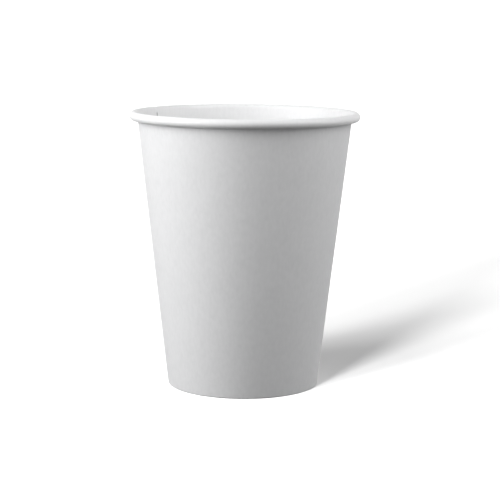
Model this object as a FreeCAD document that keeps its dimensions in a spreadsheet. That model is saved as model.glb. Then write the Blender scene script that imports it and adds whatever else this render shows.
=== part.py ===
"""Paper cup for hot drinks, single wall, two pieces of coated board.

side_wall is one fan-shaped blank wrapped into a cone. Its two straight edges lap at the side
seam, its top edge is rolled outwards into the rim, and its bottom edge is folded in and up
to hold the floor. bottom_disc is the floor: a flat disc with its edge bent down into a
skirt, which sits in the fold at the foot.

Frame, in millimetres: +Z up along the cup's axis, origin at the centre of the foot, on the
table. side_wall is drawn with its seam at +X and then turned to the seam's azimuth.

The blank has a food side, which faces the drink and covers the outside of the roll, and a
print side. A depth is measured in boards from the food side towards the print side, so one
ply lies between depths 0 and 1, and the outer ply of the lap lies between depths 1 and 2.

Bends are drawn as short chords whose corners lie on the true arc. At these small radii a
chord leaves its arc by less than 0.1 mm, and whole rings of them stay light.
"""

import math
import operator
import os

import FreeCAD
import Part
import Sketcher

# Driving dimensions: alias, value, what it measures.
SIZES = [
    ("rim_diameter", 90.0, "outside of the rolled rim"),
    ("foot_diameter", 59.2, "print side of the wall, carried down to the table"),
    ("cup_height", 107.7, "table to the top of the rim"),
    ("wall_board", 0.35, "thickness of the blank"),
    ("floor_board", 0.30, "thickness of the floor"),
    ("curl_radius", 1.75, "outer radius of the roll"),
    ("tuck_turn", 130.0, "degrees that the roll goes on inside itself"),
    ("hem_height", 6.5, "table to the free edge of the folded foot"),
    ("floor_height", 8.0, "table to the top of the floor"),
    ("floor_bend", 1.0, "outer radius where the floor turns down"),
    ("skirt_rest", 0.2, "gap under the skirt, in the fold"),
    ("lap_width", 7.0, "width of the lap at the side seam"),
    ("lap_ramp", 4.0, "degrees over which the outer ply climbs onto the inner one"),
    ("lap_foot", 1.2, "height at which the lap is pressed out, above the fold"),
    ("lap_full", 2.7, "height from which the lap has its full thickness"),
    ("seam_azimuth", 148.0, "degrees from +X to the inner edge of the seam"),
]

# Depths of the lap's parts, in boards from the food side.
BURIED = 0.7  # where the outer ply starts, inside the inner one, so that the two join
OUTER = 2.0  # the outer ply's print side
SKIN = 1.06  # the thin end of the ramp, just above one ply
OPEN = -0.15  # where the cut beside the inner edge starts, just off the food side
NICK = 0.06  # the shallow end of that cut

# Chords in each bend.
ROLL_CHORDS = 3  # in each of the rim's three part turns
TUCK_CHORDS = 3
FOOT_CHORDS = 2
FLOOR_CHORDS = 2

END_CLEAR = 4.0  # degrees: the lap ends this much before the roll's end, the cut after it
LAP_SWEEP = 20.0  # degrees of outer ply before its edge is trimmed
TRIM_REACH = 150.0  # side of the block that trims it
FULL_TURN = 360.0

START, END = 1, 2  # a sketch's names for the two ends of a line
ORIGIN, UPRIGHT = -1, -2  # a sketch's own axes; the first one starts at the origin


class Term:
    """A size as text that follows the sheet, with the value that it has as drawn."""

    def __init__(self, text, value):
        self.text = text
        self.value = value

    def combine(self, sign, work, other):
        if not isinstance(other, Term):
            other = Term(f"({other})", other)
        return Term(f"({self.text} {sign} {other.text})", work(self.value, other.value))

    def __add__(self, other):
        return self.combine("+", operator.add, other)

    def __sub__(self, other):
        return self.combine("-", operator.sub, other)

    def __mul__(self, other):
        return self.combine("*", operator.mul, other)

    def __truediv__(self, other):
        return self.combine("/", operator.truediv, other)


def function(name, *terms):
    """A function of terms, by the one name that it has in the sheet and in math."""
    text = "; ".join(term.text for term in terms)
    values = [term.value for term in terms]
    return Term(f"{name}({text})", getattr(math, name)(*values))


def angle(degrees):
    """An angle given in degrees, as a number or as a term."""
    if not isinstance(degrees, Term):
        degrees = Term(str(degrees), degrees)
    return Term(f"({degrees.text} * 1 deg)", math.radians(degrees.value))


size = {alias: Term(f"Sizes.{alias}", value) for alias, value, _ in SIZES}
board = size["wall_board"]
floor_board = size["floor_board"]

# The roll's centre. Where it starts inside itself it tightens by two boards, to clear itself.
roll_centre = (
    size["rim_diameter"] / 2 - size["curl_radius"],
    size["cup_height"] - size["curl_radius"],
)
tuck_centre = (roll_centre[0], roll_centre[1] - board * 2)

# The wall leans so that its print side just touches the inside of the roll.
across = roll_centre[0] - size["foot_diameter"] / 2
roll_inside = size["curl_radius"] - board
lean = function("atan2", across, roll_centre[1]) - function(
    "asin", roll_inside / function("hypot", across, roll_centre[1])
)
inner_side = angle(180) - lean  # the direction square to the wall, towards the axis
outer_side = angle(0) - lean


def on_wall(gap, height):
    """The point at a height whose distance inwards from the wall's print side is gap."""
    foot = size["foot_diameter"] / 2 - gap / function("cos", lean)
    return foot + height * function("tan", lean), height


def around(centre, radius, direction):
    """The point at a radius from a centre, in a direction."""
    x, y = centre
    return x + radius * function("cos", direction), y + radius * function("sin", direction)


def bend(centre, radius, start, end, chords):
    """The corners of the chords along an arc, its two ends included."""
    step = (end - start) / chords
    return [around(centre, radius, start + step * index) for index in range(chords + 1)]


def roll(depth, end_clear=0.0):
    """The corners at a depth, from the wall's top over the rim to the roll's inner end."""
    wide = size["curl_radius"] - board * depth
    tight = wide - board * 2
    down = angle(-90)
    last = down - angle(size["tuck_turn"] + end_clear)
    stops = [inner_side, angle(90), angle(0), down]
    corners = []
    for start, end in zip(stops, stops[1:]):
        corners += bend(roll_centre, wide, start, end, ROLL_CHORDS)[:-1]
    return corners + bend(tuck_centre, tight, down, last, TUCK_CHORDS)


def sheet_corners():
    """The blank's whole section, from the fold at the foot round both of its sides."""
    corner = on_wall(board, board)
    hem_corner = on_wall(board + floor_board, board)
    hem_top = on_wall(board * 2 + floor_board, size["hem_height"])
    food = [corner] + roll(0)
    print_side = roll(1)[::-1]
    foot = bend(corner, board, outer_side, angle(-90), FOOT_CHORDS)
    hem = bend(hem_corner, board, angle(270), inner_side, FOOT_CHORDS)
    return food + print_side + foot + hem + [
        hem_top, around(hem_top, board, outer_side), hem_corner
    ]


def lap_corners(near, far, end_clear):
    """A layer of the lap between two depths on the wall and in the roll, thin at the foot."""
    near_foot = on_wall(board - board * near, size["lap_foot"])
    far_foot = on_wall(board - board * far, size["lap_full"])
    return [near_foot] + roll(near, end_clear) + roll(far, end_clear)[::-1] + [far_foot]


def hem_lap_corners(near, far):
    """The same layer on the folded foot, where the depth grows towards the axis."""
    near_gap = board + floor_board + board * near
    far_gap = board + floor_board + board * far
    far_top = on_wall(far_gap, size["hem_height"])
    near_top = around(far_top, far_gap - near_gap, outer_side)
    return [
        on_wall(near_gap, size["lap_foot"]), near_top,
        far_top, on_wall(far_gap, size["lap_full"]),
    ]


def floor_corners():
    """The floor's section, from the axis out, down the skirt and back along its underside."""
    top, radius = size["floor_height"], size["floor_bend"]
    centre = on_wall(board + radius, top - radius)
    skirt_low = on_wall(board, board + size["skirt_rest"])
    axis = Term("0", 0.0)
    upper = bend(centre, radius, angle(90), outer_side, FLOOR_CHORDS)
    under = bend(centre, radius - floor_board, outer_side, angle(90), FLOOR_CHORDS)
    return [(axis, top)] + upper + [
        skirt_low, around(skirt_low, floor_board, inner_side)
    ] + under + [(axis, top - floor_board)]


def add_sheet(doc):
    sheet = doc.addObject("Spreadsheet::Sheet", "Sizes")
    for row, (alias, value, meaning) in enumerate(SIZES, start=1):
        sheet.set(f"A{row}", alias)
        sheet.set(f"B{row}", str(value))
        sheet.set(f"C{row}", meaning)
        sheet.setAlias(f"B{row}", alias)
    doc.recompute()


def add_outline(body, name, corners, azimuth=None, aside=None):
    """A closed outline in the upright plane through the axis: X is the radius, Y the height.

    The plane is turned about the axis to an azimuth, or moved aside, if either is given.
    Every corner is bound to the sheet.
    """
    sketch = body.newObject("Sketcher::SketchObject", name)
    plane = next(p for p in body.Origin.OriginFeatures if p.Role == "XZ_Plane")
    sketch.AttachmentSupport = (plane, [""])
    sketch.MapMode = "FlatFace"
    if azimuth:
        upright = FreeCAD.Vector(0, 1, 0)
        spin = FreeCAD.Rotation(upright, math.degrees(azimuth.value))
        sketch.AttachmentOffset = FreeCAD.Placement(FreeCAD.Vector(), spin)
        sketch.setExpression("AttachmentOffset.Rotation.Angle", azimuth.text)
    if aside:
        sketch.setExpression("AttachmentOffset.Base.z", aside.text)

    points = [FreeCAD.Vector(x.value, y.value, 0) for x, y in corners]
    following = points[1:] + points[:1]
    edges = [Part.LineSegment(a, b) for a, b in zip(points, following)]
    sketch.addGeometry(edges, False)
    last = len(edges) - 1
    for index in range(len(edges)):
        before = last if index == 0 else index - 1
        sketch.addConstraint(Sketcher.Constraint("Coincident", before, END, index, START))
    for index, (x, y) in enumerate(corners):
        for kind, axis, term in (("DistanceX", UPRIGHT, x), ("DistanceY", ORIGIN, y)):
            if term.value == 0:
                on_axis = Sketcher.Constraint("PointOnObject", index, START, axis)
                sketch.addConstraint(on_axis)
                continue
            distance = Sketcher.Constraint(kind, ORIGIN, START, index, START, term.value)
            number = sketch.addConstraint(distance)
            sketch.setExpression(f"Constraints[{number}]", term.text)
    return sketch


def revolve(body, name, sketch, degrees):
    """Turns a sketch about the cup's axis."""
    feature = body.newObject("PartDesign::Revolution", name)
    feature.Profile = sketch
    feature.ReferenceAxis = (sketch, ["V_Axis"])
    feature.Angle = degrees
    body.Document.recompute()


def loft(body, kind, name, corners, thick, thin):
    """A straight loft from a thick outline at the seam to a thin one at the ramp's far side."""
    foot_of_ramp = angle(size["lap_ramp"] * -1)
    feature = body.newObject(kind, name)
    feature.Profile = add_outline(body, f"{name}_thick", corners(*thick))
    feature.Sections = [add_outline(body, f"{name}_thin", corners(*thin), foot_of_ramp)]
    feature.Ruled = True
    body.Document.recompute()


def trim_lap(body):
    """Cuts the outer ply to its width, along a plane beside the one through the seam."""
    near, far = Term("0", 0.0), Term(str(TRIM_REACH), TRIM_REACH)
    square = [(near, near), (far, near), (far, far), (near, far)]
    aside = size["lap_width"] * -1
    feature = body.newObject("PartDesign::Pocket", "lap_trim")
    feature.Profile = add_outline(body, "lap_trim_outline", square, aside=aside)
    feature.Length = TRIM_REACH
    body.Document.recompute()


def require(truth, message):
    if not truth:
        raise RuntimeError(message)


def volume_change(body, step, *arguments):
    before = body.Shape.Volume
    step(body, *arguments)
    return body.Shape.Volume - before


def make_side_wall(doc):
    body = doc.addObject("PartDesign::Body", "side_wall")
    body.Label = "side_wall"
    body.AllowCompound = True  # the outer ply starts as two strips, which the blank joins

    thick = (BURIED, OUTER, -END_CLEAR)
    ply = add_outline(body, "lap_outline", lap_corners(*thick))
    revolve(body, "lap", ply, LAP_SWEEP)
    hem_ply = add_outline(body, "hem_lap_outline", hem_lap_corners(BURIED, OUTER))
    revolve(body, "hem_lap", hem_ply, LAP_SWEEP)
    require(volume_change(body, trim_lap) < 0, "the trim misses the lap")

    revolve(body, "blank", add_outline(body, "blank_outline", sheet_corners()), FULL_TURN)
    loft(body, "PartDesign::AdditiveLoft", "ramp", lap_corners, thick,
         (BURIED, SKIN, -END_CLEAR))
    loft(body, "PartDesign::AdditiveLoft", "hem_ramp", hem_lap_corners, (BURIED, OUTER),
         (BURIED, SKIN))
    cut = volume_change(
        body, loft, "PartDesign::SubtractiveLoft", "seam_step", lap_corners,
        (OPEN, 1.0, END_CLEAR), (OPEN, NICK, END_CLEAR),
    )
    require(cut < 0, "the step beside the inner edge misses the wall")

    seam = angle(size["seam_azimuth"])
    body.setExpression("Placement.Rotation.Angle", seam.text)
    return body


def make_bottom_disc(doc):
    body = doc.addObject("PartDesign::Body", "bottom_disc")
    body.Label = "bottom_disc"
    revolve(body, "floor", add_outline(body, "floor_outline", floor_corners()), FULL_TURN)
    return body


def main():
    doc = FreeCAD.newDocument("paper_cup")
    add_sheet(doc)
    bodies = [make_side_wall(doc), make_bottom_disc(doc)]
    doc.recompute()

    for item in doc.Objects:
        failed = {"Invalid", "Error"} & set(item.State)
        require(not failed, f"{item.Name} failed: {item.State}")
    for body in bodies:
        shape = body.Shape
        require(not shape.isNull() and shape.isValid(), f"{body.Label} has a bad shape")
        require(len(shape.Solids) == 1, f"{body.Label} isn't one solid")

    os.makedirs("parts", exist_ok=True)
    for body in bodies:
        body.Shape.exportStep(f"parts/{body.Label}.step")
        print(body.Label, round(body.Shape.Volume, 1), "mm3")


main()
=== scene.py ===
import math

import bpy
import numpy as np
from mathutils import Matrix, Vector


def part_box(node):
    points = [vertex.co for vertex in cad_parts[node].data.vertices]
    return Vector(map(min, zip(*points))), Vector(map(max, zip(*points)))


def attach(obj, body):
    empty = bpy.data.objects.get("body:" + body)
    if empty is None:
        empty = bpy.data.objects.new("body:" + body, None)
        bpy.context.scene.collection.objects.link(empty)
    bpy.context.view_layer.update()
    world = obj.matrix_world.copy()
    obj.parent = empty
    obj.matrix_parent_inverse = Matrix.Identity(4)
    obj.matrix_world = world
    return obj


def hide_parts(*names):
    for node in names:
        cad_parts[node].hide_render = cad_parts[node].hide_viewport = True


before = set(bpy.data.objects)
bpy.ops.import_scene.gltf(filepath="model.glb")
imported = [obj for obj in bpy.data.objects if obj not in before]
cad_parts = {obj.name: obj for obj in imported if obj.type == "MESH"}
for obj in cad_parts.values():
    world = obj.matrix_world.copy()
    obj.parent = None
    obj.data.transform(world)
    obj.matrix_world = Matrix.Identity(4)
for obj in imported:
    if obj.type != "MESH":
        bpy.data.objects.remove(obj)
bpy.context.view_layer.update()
print("frame loaded:", sorted(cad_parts))

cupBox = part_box("side_wall")
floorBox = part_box("bottom_disc")
cupHeight = cupBox[1].z
rimRadius = cupBox[1].x


# Shader maths as expressions: a Wire is one socket's output, and sums of wires add Math nodes.
class Wire:
    def __init__(self, graph, socket):
        self.graph = graph
        self.socket = socket

    def maths(self, operation, *values):
        return self.graph.node("ShaderNodeMath", {"operation": operation}, dict(enumerate(values)))

    def __add__(self, other):
        return self.maths("ADD", self, other)

    def __sub__(self, other):
        return self.maths("SUBTRACT", self, other)

    def __rsub__(self, other):
        return self.maths("SUBTRACT", other, self)

    def __mul__(self, other):
        return self.maths("MULTIPLY", self, other)

    __radd__ = __add__
    __rmul__ = __mul__


# The nodes of one material or world.
class Graph:
    def __init__(self, owner):
        owner.use_nodes = True
        self.tree = owner.node_tree
        self.tree.nodes.clear()

    # adds one node: its settings first, then the values or wires of its sockets
    def node(self, kind, settings=None, inputs=None, output=0):
        made = self.tree.nodes.new(kind)
        for name, value in (settings or {}).items():
            setattr(made, name, value)
        for name, value in (inputs or {}).items():
            if isinstance(value, Wire):
                self.tree.links.new(value.socket, made.inputs[name])
            else:
                made.inputs[name].default_value = value
        return Wire(self, made.outputs[output]) if made.outputs else made

    # a Mix node's colours are its sockets 6 and 7, and the mixed colour is its output 2
    def mixColour(self, factor, first, second):
        settings = {"data_type": "RGBA", "clamp_factor": True}
        return self.node("ShaderNodeMix", settings, {0: factor, 6: first, 7: second}, output=2)

    # a noise around zero, of a grain size in metres, on the piece's own coordinates
    def grain(self, place, size, detail, stretch=(1, 1, 1)):
        scaled = self.node("ShaderNodeMapping", None, {"Vector": place, "Scale": stretch})
        inputs = {"Vector": scaled, "Scale": 1 / size, "Detail": detail}
        return self.node("ShaderNodeTexNoise", None, inputs) - 0.5


# Board finishes. Each is one dictionary, read by boardMaterial.
finishes = {
    "printBoard": {
        "colour": (0.886, 0.888, 0.895, 1),  # uncoated, matte, very slightly cool
        "shade": (0.838, 0.841, 0.848, 1),  # the darker end of its clouds
        "roughness": 0.62,
        "coat": 0.0,
        "mottle": 0.011,  # size of the cloudy patches, metres
        "fibre": 0.0011,  # size of the fibre grain
        "relief": 0.000012,  # height of the bump
    },
    "coatedBoard": {
        "colour": (0.928, 0.930, 0.934, 1),  # food side, under a thin coating
        "shade": (0.890, 0.892, 0.897, 1),
        "roughness": 0.42,
        "coat": 0.12,
        "mottle": 0.014,
        "fibre": 0.0011,
        "relief": 0.000006,
        "seam": (0.26, 0.26, 0.25, 1),  # a grey hairline at the inner ply's free edge: painted shade of the step between the plies, with a little of the raw edge's own grey
    },
    "cutEdge": {
        "colour": (0.80, 0.785, 0.75, 1),  # raw fibres, a little warmer
        "shade": (0.70, 0.68, 0.64, 1),
        "roughness": 0.85,
        "coat": 0.0,
        "mottle": 0.0012,
        "fibre": 0.00025,
        "relief": 0.00003,
    },
}
# What all the finishes share: how much the clouds and the fibres count in tone, height and
# roughness, and the coating's own values.
boardGrain = {
    "cloudDetail": 3.0,
    "fibreDetail": 4.0,
    "fibreStretch": (1, 1, 0.45),  # below 1, the grain is drawn out that way
    "cloudTone": 0.8,
    "fibreTone": 2.2,
    "middleTone": 0.4,
    "cloudHeight": 0.4,
    "fibreHeight": 0.8,
    "fibreRoughness": 0.25,
    "coatRoughness": 0.3,
    "refraction": 1.45,
}


# Clouds and fibres are two noises. Their weighted sum moves the colour towards its shade and
# lifts the bump, and the fibres alone move the roughness.
def boardMaterial(name):
    look, share = finishes[name], boardGrain
    material = bpy.data.materials.new(name)
    graph = Graph(material)
    place = graph.node("ShaderNodeTexCoord", output="Object")
    clouds = graph.grain(place, look["mottle"], share["cloudDetail"])
    fibres = graph.grain(place, look["fibre"], share["fibreDetail"], share["fibreStretch"])
    tone = clouds * share["cloudTone"] + fibres * share["fibreTone"] + share["middleTone"]
    tone = graph.node("ShaderNodeClamp", None, {0: tone})
    colour = graph.mixColour(tone, look["colour"], look["shade"])
    # the seam's hairline is painted shade of the step at the inner ply's free edge, which darkens
    # the colour there
    if "seam" in look:
        line = graph.node("ShaderNodeAttribute", {"attribute_name": "seamLine"}, output="Fac")
        colour = graph.mixColour(line, colour, look["seam"])
    height = fibres * share["fibreHeight"] + clouds * share["cloudHeight"]
    bump = {"Distance": look["relief"], "Strength": 1.0, "Height": height}
    shader = graph.node("ShaderNodeBsdfPrincipled", None, {
        "Base Color": colour,
        "Roughness": fibres * share["fibreRoughness"] + look["roughness"],
        "Normal": graph.node("ShaderNodeBump", None, bump),
        "Coat Weight": look["coat"],
        "Coat Roughness": share["coatRoughness"],
        "IOR": share["refraction"],
    })
    graph.node("ShaderNodeOutputMaterial", None, {"Surface": shader})
    return material


# The wrapped wall: a fan of board rolled at the top, folded at the foot, lapped at the side.
# Lengths are in metres and angles in degrees.
wall = {
    "board": 0.00035,
    "rollRadius": 0.00175,
    "tuckTurn": 130.0,  # how far the roll goes on inside itself
    "footRadius": 0.0296,  # print side, carried down to the table
    "hemHeight": 0.0065,
    "foldRadius": 0.00015,  # the fold at the foot goes round the skirt's edge
    "lapWidth": 0.007,
    "lapRamp": 4.0,  # the outer ply climbs over this turn
    "lapPressed": (0.0012, 0.0027),  # fully pressed below the first height, free above the second
    "pressedAway": 0.5,  # share of each ply's thickness that pressing takes
    "plyGap": 0.00002,
    "samePoint": 0.000001,  # stations nearer than this are one
    "seamAzimuth": 148.0,
    # widths of the seam's hairline of painted shade, which also set the fine columns beside the
    # inner edge
    "seamLine": {"inner": 0.0008, "outer": 0.0004, "below": 0.0004, "fade": 0.0006},
    "rows": {"low": 8, "wall": 14, "neck": 7, "roll": 26, "tuck": 10, "fold": 5, "hem": 9},
    "neck": 0.002,  # stretch under the roll that has rows of its own
    "columns": {"edge": 8, "round": 500, "ramp": 14, "lap": 10},
}
# The floor: a round blank whose edge is bent down into a skirt.
floorDisc = {
    "board": 0.0003,
    "bend": 0.001,  # outer radius where the floor turns down
    "skirtRest": 0.0002,  # gap under the skirt, in the fold
    "columns": 288,
    "rows": {"flat": 14, "bend": 7, "skirt": 8},
}
sharpAngle = 42.0  # degrees between faces, past which their edge is drawn sharp
foodSide, printSide, rawEdge = 0, 1, 2  # places of the finishes in each piece's list
fullTurn = 2 * math.pi


# The wall's lean from upright: from the foot to a line that touches the inside of the roll.
def wallLean():
    across = rimRadius - wall["rollRadius"] - wall["footRadius"]
    up = cupHeight - wall["rollRadius"]
    inside = wall["rollRadius"] - wall["board"]
    return math.atan2(across, up) - math.asin(inside / math.hypot(across, up))


lean = wallLean()
outward = np.array([math.cos(lean), -math.sin(lean)])  # square to the wall, away from the axis
wallTop = cupHeight - wall["rollRadius"] * (1 - math.sin(lean))  # where the roll takes over


# The point of the wall at a distance inwards from its print side, at a height.
def onWall(gap, height):
    height = np.asarray(height, float)
    radius = wall["footRadius"] - gap / math.cos(lean) + height * math.tan(lean)
    return np.stack([radius, height], axis=-1)


# Unit vectors at evenly spaced angles, in degrees.
def turns(start, end, count):
    angles = np.radians(np.linspace(start, end, count))
    return np.stack([np.cos(angles), np.sin(angles)], axis=-1)


# Points at a radius and a height, carried round the cup's axis by each azimuth.
def turned(radius, up, azimuth):
    return np.stack([radius * np.cos(azimuth), radius * np.sin(azimuth), up + 0 * azimuth], axis=-1)


# Eases from 0 to 1: three times the square less twice the cube.
def smooth(value):
    value = np.clip(value, 0.0, 1.0)
    return value * value * (3 - 2 * value)


# The blank's food side as stations from the hem's free edge to the roll's inner end. Each
# station is a point and the direction in which the board's depth grows: point + depth * way.
def blankStations():
    board, rows, side = wall["board"], wall["rows"], math.degrees(lean)
    fold, skirt = wall["foldRadius"], floorDisc["board"]
    rollCentre = np.array([rimRadius - wall["rollRadius"], cupHeight - wall["rollRadius"]])
    # the roll's inner end turns inside the roll, two boards tighter, about a centre as much lower
    tuckCentre = rollCentre - [0, 2 * board]
    foldHeight = board + fold
    hemCentre = onWall(board + skirt - fold, foldHeight)
    wallCentre = onWall(board + fold, foldHeight)

    hemHeights = np.linspace(wall["hemHeight"], foldHeight, rows["hem"])[:-1]
    lapFull, neckFoot = wall["lapPressed"][1], wallTop - wall["neck"]
    wallHeights = np.concatenate([
        np.linspace(foldHeight, lapFull, rows["low"])[1:],
        np.linspace(lapFull, neckFoot, rows["wall"])[1:],
        np.linspace(neckFoot, wallTop, rows["neck"])[1:-1],
    ])
    hemTurn = turns(180 - side, 270, rows["fold"])
    wallTurn = turns(-90, -side, rows["fold"])
    rollTurn = turns(180 - side, -90, rows["roll"])
    tuckTurn = turns(-90, -90 - wall["tuckTurn"], rows["tuck"])[1:]
    pieces = [
        (onWall(board + skirt, hemHeights), np.tile(-outward, (len(hemHeights), 1))),
        (hemCentre + fold * hemTurn, hemTurn),
        (wallCentre + fold * wallTurn, wallTurn),
        (onWall(board, wallHeights), np.tile(outward, (len(wallHeights), 1))),
        (rollCentre + wall["rollRadius"] * rollTurn, -rollTurn),
        (tuckCentre + (wall["rollRadius"] - 2 * board) * tuckTurn, -tuckTurn),
    ]
    points = np.concatenate([piece[0] for piece in pieces])
    ways = np.concatenate([piece[1] for piece in pieces])
    # two stretches that end in the same point share it, so that no face is left without area
    apart = np.append(True, np.linalg.norm(np.diff(points, axis=0), axis=1) > wall["samePoint"])
    return points[apart], ways[apart]


# Turn angles of the blank's columns at each station, from its inner edge round to its outer
# one: fine ones beside the inner edge, once round, up the ramp, and over the lap, which is as
# wide at every radius.
def blankTurns(radius):
    columns, ramp = wall["columns"], math.radians(wall["lapRamp"])
    lap = wall["lapWidth"] / radius[:, None]
    edge = 2 * wall["seamLine"]["inner"] / radius[:, None]
    start = np.linspace(0, 1, columns["edge"])[None, :-1] * edge
    once = edge + np.linspace(0, 1, columns["round"])[None, :-1] * (fullTurn - ramp - edge)
    climb = fullTurn - ramp * np.linspace(1, 0, columns["ramp"])[None, :-1] ** 2 + 0 * lap
    over = fullTurn + np.linspace(0, 1, columns["lap"])[None, :] * lap
    return np.concatenate([start, once, climb, over], axis=1), lap, ramp


# How much the seam's hairline of painted shade shows at each corner: all of it at the inner ply's
# free edge, none past its width on either side of that edge, and none on the roll.
def seamShare(turn, points):
    look = wall["seamLine"]
    along = turn * points[:, 0:1]
    back = (fullTurn - turn) * points[:, 0:1]
    away = np.minimum(along / look["inner"], back / look["outer"])
    beside = 1 - smooth(np.where(back < 0, 1.0, away))
    return beside * smooth((wallTop - look["below"] - points[:, 1:2]) / look["fade"])


# The wall's surface: stations by columns. The outer ply is one board deeper than the inner,
# it climbs there over the ramp, and near the foot both are pressed thin.
def wallSurface():
    points, ways = blankStations()
    board, taken = wall["board"], wall["pressedAway"]
    low, full = wall["lapPressed"]
    turn, lap, ramp = blankTurns(points[:, 0])
    pressed = 1 - smooth((points[:, 1:2] - low) / (full - low))
    climbed = smooth((turn - (fullTurn - ramp)) / ramp)
    under = 1 - smooth((turn - lap) / ramp)
    thick = board * (1 - taken * pressed * np.maximum(climbed, under))
    food = climbed * (board * (1 - taken * pressed) + wall["plyGap"] * (1 - pressed))

    azimuth = turn + math.radians(wall["seamAzimuth"])
    sides = []
    for depth in (food, food + thick):
        radius = points[:, 0:1] + depth * ways[:, 0:1]
        up = points[:, 1:2] + depth * ways[:, 1:2]
        sides.append(turned(radius, up, azimuth))
    # with how much of the seam's painted shade each corner takes
    return (*sides, seamShare(turn, points))


# Puts an object with this data into the scene.
def addItem(name, data):
    item = bpy.data.objects.new(name, data)
    bpy.context.scene.collection.objects.link(item)
    return item


# Makes a mesh from corners and quads given as whole arrays, with a finish's place for each quad.
def meshPiece(name, corners, quads, places, materials):
    mesh = bpy.data.meshes.new(name)
    mesh.vertices.add(len(corners))
    mesh.vertices.foreach_set("co", np.asarray(corners, np.float32).ravel())
    mesh.loops.add(quads.size)
    mesh.loops.foreach_set("vertex_index", quads.astype(np.int32).ravel())
    mesh.polygons.add(len(quads))
    mesh.polygons.foreach_set("loop_start", np.arange(0, quads.size, 4, dtype=np.int32))
    mesh.polygons.foreach_set("material_index", places.astype(np.int32))
    mesh.update(calc_edges=True)
    mesh.validate()
    mesh.shade_smooth()
    mesh.set_sharp_from_angle(angle=math.radians(sharpAngle))
    for material in materials:
        mesh.materials.append(material)
    piece = addItem(name, mesh)
    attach(piece, "root")
    print(name, len(corners), "corners", len(quads), "quads")
    return piece


# Quads of a grid of corner numbers: each takes its neighbours to the right and in the row below.
def gridQuads(numbers):
    around = [numbers[:-1, :-1], numbers[:-1, 1:], numbers[1:, 1:], numbers[1:, :-1]]
    return np.stack(around, axis=-1).reshape(-1, 4)


# The wall as one closed mesh: its two sides, and strips of raw edge along the four edges.
def makeWall(materials):
    food, printed, line = wallSurface()
    count = food.shape[0] * food.shape[1]
    foodNumbers = np.arange(count).reshape(food.shape[:2])
    printNumbers = foodNumbers + count
    faces = [
        (gridQuads(foodNumbers[::-1]), foodSide),
        (gridQuads(printNumbers), printSide),
        (gridQuads(np.stack([foodNumbers[0], printNumbers[0]])), rawEdge),
        (gridQuads(np.stack([printNumbers[-1], foodNumbers[-1]])), rawEdge),
        (gridQuads(np.stack([printNumbers[:, 0], foodNumbers[:, 0]])), rawEdge),
        (gridQuads(np.stack([foodNumbers[:, -1], printNumbers[:, -1]])), rawEdge),
    ]
    quads = np.concatenate([part for part, _ in faces])
    places = np.concatenate([np.full(len(part), place) for part, place in faces])
    corners = np.concatenate([food.reshape(-1, 3), printed.reshape(-1, 3)])
    piece = meshPiece("wrappedWall", corners, quads, places, materials)
    # the seam's hairline of painted shade, kept at each corner of the wall
    seam = piece.data.attributes.new("seamLine", "FLOAT", "POINT")
    seamShadeShares = np.concatenate([line.ravel(), 0 * line.ravel()])  # none on the print side
    seam.data.foreach_set("value", seamShadeShares.astype(np.float32))
    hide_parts("side_wall")
    return piece


# The floor's section: the flat, the bend and the skirt, as points and ways of growing depth.
def floorStations():
    rows, bend = floorDisc["rows"], floorDisc["bend"]
    board, top = wall["board"], floorBox[1].z
    centre = onWall(board + bend, top - bend)
    bendTurn = turns(90, -math.degrees(lean), rows["bend"])
    across = np.linspace(0, centre[0], rows["flat"])[1:-1]
    flat = np.stack([across, np.full(len(across), top)], axis=-1)
    heights = np.linspace(top - bend, board + floorDisc["skirtRest"], rows["skirt"])[1:]
    skirt = onWall(board, heights)
    points = np.concatenate([flat, centre + bend * bendTurn, skirt])
    down = np.tile([0.0, -1.0], (len(flat), 1))
    ways = np.concatenate([down, -bendTurn, np.tile(-outward, (len(skirt), 1))])
    return points, ways


# A pole's fan of quads, each two columns wide, so that no corner of the ring is left over.
def poleFan(pole, ring):
    pairs = np.arange(0, len(ring) - 1, 2)
    poles = np.full(len(pairs), pole)
    return np.stack([ring[pairs], ring[pairs + 1], ring[pairs + 2], poles], axis=-1)


# The floor's surface is its section carried once round the axis, with a point at each pole.
def makeFloor(materials):
    points, ways = floorStations()
    section = np.concatenate([points, (points + floorDisc["board"] * ways)[::-1]])
    rows, columns, half = len(section), floorDisc["columns"], len(points)
    azimuth = np.linspace(0, fullTurn, columns, endpoint=False)
    ring = turned(section[:, 0:1], section[:, 1:2], azimuth)
    numbers = np.arange(rows * columns).reshape(rows, columns)
    closed = np.concatenate([numbers, numbers[:, :1]], axis=1)
    topPole, lowPole = rows * columns, rows * columns + 1
    topFan, lowFan = poleFan(topPole, closed[0]), poleFan(lowPole, closed[-1][::-1])
    quads = np.concatenate([gridQuads(closed)[:, ::-1], topFan, lowFan])
    poles = [[0, 0, section[0, 1]], [0, 0, section[-1, 1]]]
    corners = np.concatenate([ring.reshape(-1, 3), poles])
    strips = [foodSide] * (half - 1) + [rawEdge] + [printSide] * (half - 1)
    fans = np.repeat([foodSide, printSide], [len(topFan), len(lowFan)])
    places = np.concatenate([np.repeat(strips, columns), fans])
    piece = meshPiece("floorDisc", corners, quads, places, materials)
    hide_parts("bottom_disc")
    return piece


# The photograph's camera: place in metres, turns in radians, focal length in pixels of the
# frame's width, sensor in millimetres.
view = {
    "place": (-0.00266, -0.63487, 0.15191),
    "yaw": 0.0081,
    "pitch": 0.1545,
    "roll": 0.0089,
    "focal": 1629.4,
    "frame": 500.0,
    "sensor": 36.0,
    "clip": (0.01, 200.0),
}


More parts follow.
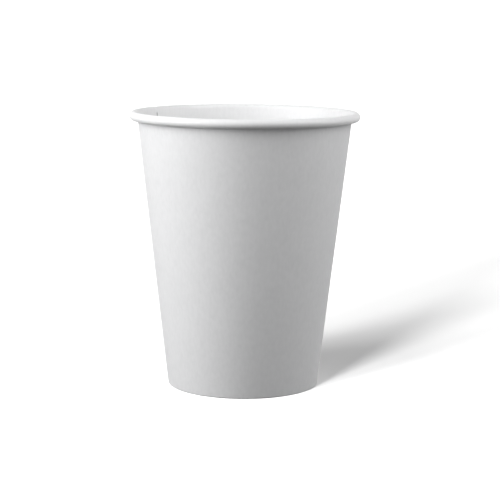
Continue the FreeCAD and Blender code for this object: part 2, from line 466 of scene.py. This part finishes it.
# The lens looks ahead along its yaw, tipped down by its pitch, and rolls about that line.
def makeCamera():
    yaw, pitch, roll = view["yaw"], view["pitch"], view["roll"]
    level = np.array([math.cos(yaw), -math.sin(yaw), 0.0])
    flatAhead = np.array([math.sin(yaw), math.cos(yaw), 0.0])
    ahead = math.cos(pitch) * flatAhead - [0, 0, math.sin(pitch)]
    above = np.cross(level, ahead)
    right = math.cos(roll) * level + math.sin(roll) * above
    up = -math.sin(roll) * level + math.cos(roll) * above
    lens = bpy.data.cameras.new("photoView")
    lens.sensor_width = view["sensor"]
    lens.lens = view["focal"] / view["frame"] * view["sensor"]
    lens.clip_start, lens.clip_end = view["clip"]
    camera = addItem("photoView", lens)
    axes = np.stack([right, up, -ahead], axis=1)
    camera.matrix_world = Matrix.Translation(view["place"]) @ Matrix(axes.tolist()).to_4x4()
    bpy.context.scene.camera = camera


# Lamps, which light only the cup: azimuth from the camera's side (minus is left) and height in
# degrees, distance and size in metres, power in watts.
lamps = {
    "key": {"azimuth": -72.0, "height": 15.0, "away": 0.75, "size": 0.5, "power": 1.96},
    "near": {"azimuth": -75.0, "height": 25.0, "away": 0.34, "size": 0.3, "power": 0.262},
    "upper": {"azimuth": -50.0, "height": 35.0, "away": 0.45, "size": 0.35, "power": 0.912},
    "front": {"azimuth": -20.0, "height": 10.0, "away": 0.75, "size": 0.3, "power": 0.533},
    "fill": {"azimuth": 65.0, "height": 38.0, "away": 0.45, "size": 0.35, "power": 0.795},
    "side": {"azimuth": 90.0, "height": 8.0, "away": 0.75, "size": 0.3, "power": 0.989},
    "top": {"azimuth": 90.0, "height": 70.0, "away": 0.45, "size": 0.3, "power": 0.0873},
}
# The suns stand for the parts of a tall soft light, and only draw the shadow on the floor:
# azimuth, height and spread in degrees, strength in watts per square metre.
suns = {
    "sunNear": {"azimuth": -26.0, "height": 10.0, "spread": 12.0, "strength": 10.3},
    "sunLow": {"azimuth": -41.0, "height": 7.0, "spread": 12.0, "strength": 6.5},
    "sunSide": {"azimuth": -48.0, "height": 16.0, "spread": 30.0, "strength": 3.7},
    "sunHigh": {"azimuth": -56.0, "height": 55.0, "spread": 30.0, "strength": 0.57},
}
stage = {
    "reach": 80.0,  # metres, so far that the floor fills the frame nearly to its top
    "seenGlow": 0.33,  # what the camera sees in the depth of the shadow
    "seenColour": 0.80,  # what it sees of the suns' light
    "bounceColour": 0.01,  # what the cup's diffuse light finds there
    "worldLight": 0.08,  # the world's strength where it only lights
}


# A unit vector from the cup towards a lamp.
def lampDirection(azimuth, height):
    across, up = math.radians(azimuth), math.radians(height)
    level = math.cos(up)
    return np.array([math.sin(across) * level, -math.cos(across) * level, math.sin(up)])


# Turns a lamp so that it shines against the direction, which leads from the cup to the lamp.
def aim(item, direction):
    side = np.cross([0, 0, 1], direction)
    side = side / np.linalg.norm(side)
    axes = np.stack([side, np.cross(direction, side), direction], axis=1)
    item.matrix_world = item.matrix_world @ Matrix(axes.tolist()).to_4x4()


# Lets a lamp light only some of the pieces.
def lightOnly(item, name, pieces):
    receivers = bpy.data.collections.new(name)
    for piece in pieces:
        receivers.objects.link(piece)
    item.light_linking.receiver_collection = receivers


# A round area lamp, at its distance from the cup's middle.
def makeLamp(name, lamp, pieces):
    light = bpy.data.lights.new(name, "AREA")
    light.shape = "DISK"
    light.size = lamp["size"]
    light.energy = lamp["power"]
    item = addItem(name, light)
    direction = lampDirection(lamp["azimuth"], lamp["height"])
    middle = np.array([0, 0, cupHeight / 2])
    item.matrix_world = Matrix.Translation(middle + lamp["away"] * direction)
    aim(item, direction)
    lightOnly(item, name, pieces)


# A far round light, as wide in the sky as its spread.
def makeSun(name, sun, floor):
    light = bpy.data.lights.new(name, "SUN")
    light.energy = sun["strength"]
    light.angle = math.radians(sun["spread"])
    item = addItem(name, light)
    aim(item, lampDirection(sun["azimuth"], sun["height"]))
    lightOnly(item, name, [floor])


# A solid grey: the same level in red, green and blue.
def grey(level):
    return (level, level, level, 1)


# The kinds of ray that should see a white surrounding, added up.
def seenRays(graph, *names):
    kinds = [graph.node("ShaderNodeLightPath", output=name) for name in names]
    return graph.node("ShaderNodeClamp", None, {0: sum(kinds[1:], kinds[0])})


# A wide floor. The camera sees it white with the cup's shadow, reflections see it plain white,
# and the cup's diffuse light finds it nearly black.
def makeFloorStage():
    mesh = bpy.data.meshes.new("studioFloor")
    reach = stage["reach"]
    square = [(-reach, -reach, 0), (reach, -reach, 0), (reach, reach, 0), (-reach, reach, 0)]
    mesh.from_pydata(square, [], [(0, 1, 2, 3)])
    floor = addItem("studioFloor", mesh)
    material = bpy.data.materials.new("studioFloor")
    graph = Graph(material)
    plain = graph.node("ShaderNodeBsdfDiffuse", None, {"Color": grey(stage["bounceColour"])})
    white = graph.node("ShaderNodeEmission", None, {"Color": grey(1), "Strength": 1.0})
    lit = graph.node("ShaderNodeBsdfDiffuse", None, {"Color": grey(stage["seenColour"])})
    glow = graph.node("ShaderNodeEmission", None, {"Color": grey(1), "Strength": stage["seenGlow"]})
    bright = graph.node("ShaderNodeAddShader", None, {0: lit, 1: glow})
    glossy = seenRays(graph, "Is Glossy Ray", "Is Transmission Ray")
    around = graph.node("ShaderNodeMixShader", None, {0: glossy, 1: plain, 2: white})
    camera = seenRays(graph, "Is Camera Ray")
    mixed = graph.node("ShaderNodeMixShader", None, {0: camera, 1: around, 2: bright})
    graph.node("ShaderNodeOutputMaterial", None, {"Surface": mixed})
    mesh.materials.append(material)
    return floor


# The world is white to camera, glossy and transmission rays, and faint as a light.
def makeWorld():
    world = bpy.data.worlds.new("studio")
    graph = Graph(world)
    seen = seenRays(graph, "Is Camera Ray", "Is Glossy Ray", "Is Transmission Ray")
    strength = seen * (1 - stage["worldLight"]) + stage["worldLight"]
    back = graph.node("ShaderNodeBackground", None, {"Color": grey(1), "Strength": strength})
    graph.node("ShaderNodeOutputWorld", None, {"Surface": back})
    bpy.context.scene.world = world


bpy.context.scene.view_settings.view_transform = "Standard"
makeCamera()
print("camera placed")
# in the order of foodSide, printSide and rawEdge
boards = [boardMaterial(name) for name in ("coatedBoard", "printBoard", "cutEdge")]
print("board finishes made")
cupPieces = [makeWall(boards), makeFloor(boards)]
for name, lamp in lamps.items():
    makeLamp(name, lamp, cupPieces)
floor = makeFloorStage()
for name, sun in suns.items():
    makeSun(name, sun, floor)
makeWorld()
print("stage and lamps set")
